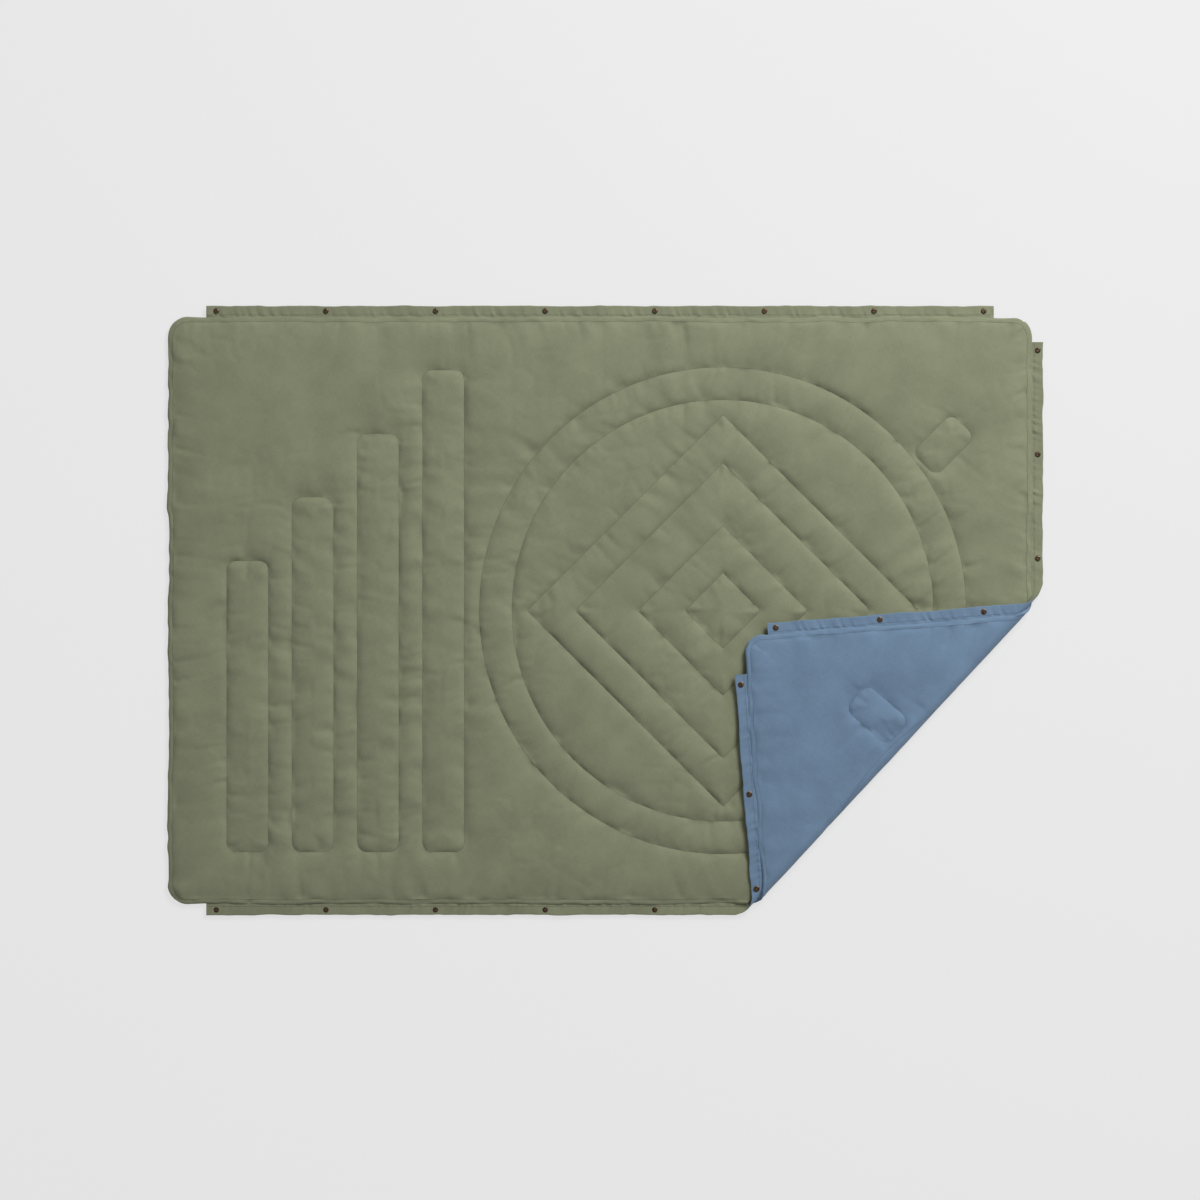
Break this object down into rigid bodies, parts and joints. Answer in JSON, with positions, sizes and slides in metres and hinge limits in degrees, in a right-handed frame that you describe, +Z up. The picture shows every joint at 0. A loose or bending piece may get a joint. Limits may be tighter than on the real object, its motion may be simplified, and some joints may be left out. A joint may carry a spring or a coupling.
{
  "type": "camp blanket",
  "caption": "Quilted camp blanket with a green shell, a blue lining and snap strips on three edges, lying flat with one corner folded back.",
  "frame": {"origin": "centre of the blanket's body at its underside", "axes": "+X along the long side, +Y along the short side towards the loose snap strip, +Z up, the green side"},
  "size_m": [2.039, 1.4183, 0.0376],
  "materials": {
    "shell_green": "matte",
    "lining_blue": "matte",
    "insulation": "matte",
    "stiffener": "matte",
    "thread_green": "matte",
    "thread_blue": "matte",
    "snap_brass": "satin",
    "spring_steel": "satin"
  },
  "bodies": {
    "blanket": {"base_bar_stitching": "thread_green", "base_blue_lining": "lining_blue", "base_column_stitching": "thread_green", "base_diamond_stitching": "thread_green", "base_edge_stitching": "thread_green", "base_green_shell": "shell_green", "base_insulation": "insulation", "base_ring_stitching": "thread_green", "bottom_strip_blue": "lining_blue", "bottom_strip_caps": "snap_brass", "bottom_strip_green": "shell_green", "bottom_strip_interfacing": "stiffener", "bottom_strip_stitching": "thread_green", "bottom_strip_studs": "snap_brass", "right_strip_blue": "lining_blue", "right_strip_caps": "snap_brass", "right_strip_green": "shell_green", "right_strip_interfacing": "stiffener", "right_strip_sockets": "snap_brass", "right_strip_springs": "spring_steel", "right_strip_stitching": "thread_green"},
    "fold_turn": {"turn_blue_lining": "lining_blue", "turn_bottom_strip_blue": "lining_blue", "turn_bottom_strip_green": "shell_green", "turn_bottom_strip_interfacing": "stiffener", "turn_insulation": "insulation", "turn_right_strip_blue": "lining_blue", "turn_right_strip_green": "shell_green", "turn_right_strip_interfacing": "stiffener"},
    "corner": {"corner_bar_stitching": "thread_blue", "corner_blue_lining": "lining_blue", "corner_bottom_strip_blue": "lining_blue", "corner_bottom_strip_caps": "snap_brass", "corner_bottom_strip_green": "shell_green", "corner_bottom_strip_interfacing": "stiffener", "corner_bottom_strip_stitching": "thread_blue", "corner_bottom_strip_studs": "snap_brass", "corner_edge_stitching": "thread_blue", "corner_green_shell": "shell_green", "corner_insulation": "insulation", "corner_right_strip_blue": "lining_blue", "corner_right_strip_caps": "snap_brass", "corner_right_strip_green": "shell_green", "corner_right_strip_interfacing": "stiffener", "corner_right_strip_stitching": "thread_blue", "corner_right_strip_studs": "snap_brass"},
    "top_strip": {"top_strip_blue": "lining_blue", "top_strip_caps": "snap_brass", "top_strip_green": "shell_green", "top_strip_interfacing": "stiffener", "top_strip_sockets": "snap_brass", "top_strip_springs": "spring_steel", "top_strip_stitching": "thread_green"}
  },
  "joints": [
    {"name": "fold_low", "type": "hinge", "parent": "blanket", "child": "fold_turn", "pos_m": [0.53464, -0.49508, 0.00399], "axis": [0.6794, 0.7337, 0], "range_deg": [0, 90]},
    {"name": "fold_high", "type": "hinge", "parent": "fold_turn", "child": "corner", "pos_m": [0.53464, -0.49508, 0.03321], "axis": [0.6794, 0.7337, 0], "range_deg": [0, 90]},
    {"name": "top_strip_fold", "type": "hinge", "parent": "blanket", "child": "top_strip", "pos_m": [0, 0.685, 0.0098], "axis": [1, 0, 0], "range_deg": [0, 85]}
  ],
  "couplings": [
    {"joint": "fold_high", "follows": "fold_low", "ratio": 1}
  ]
}
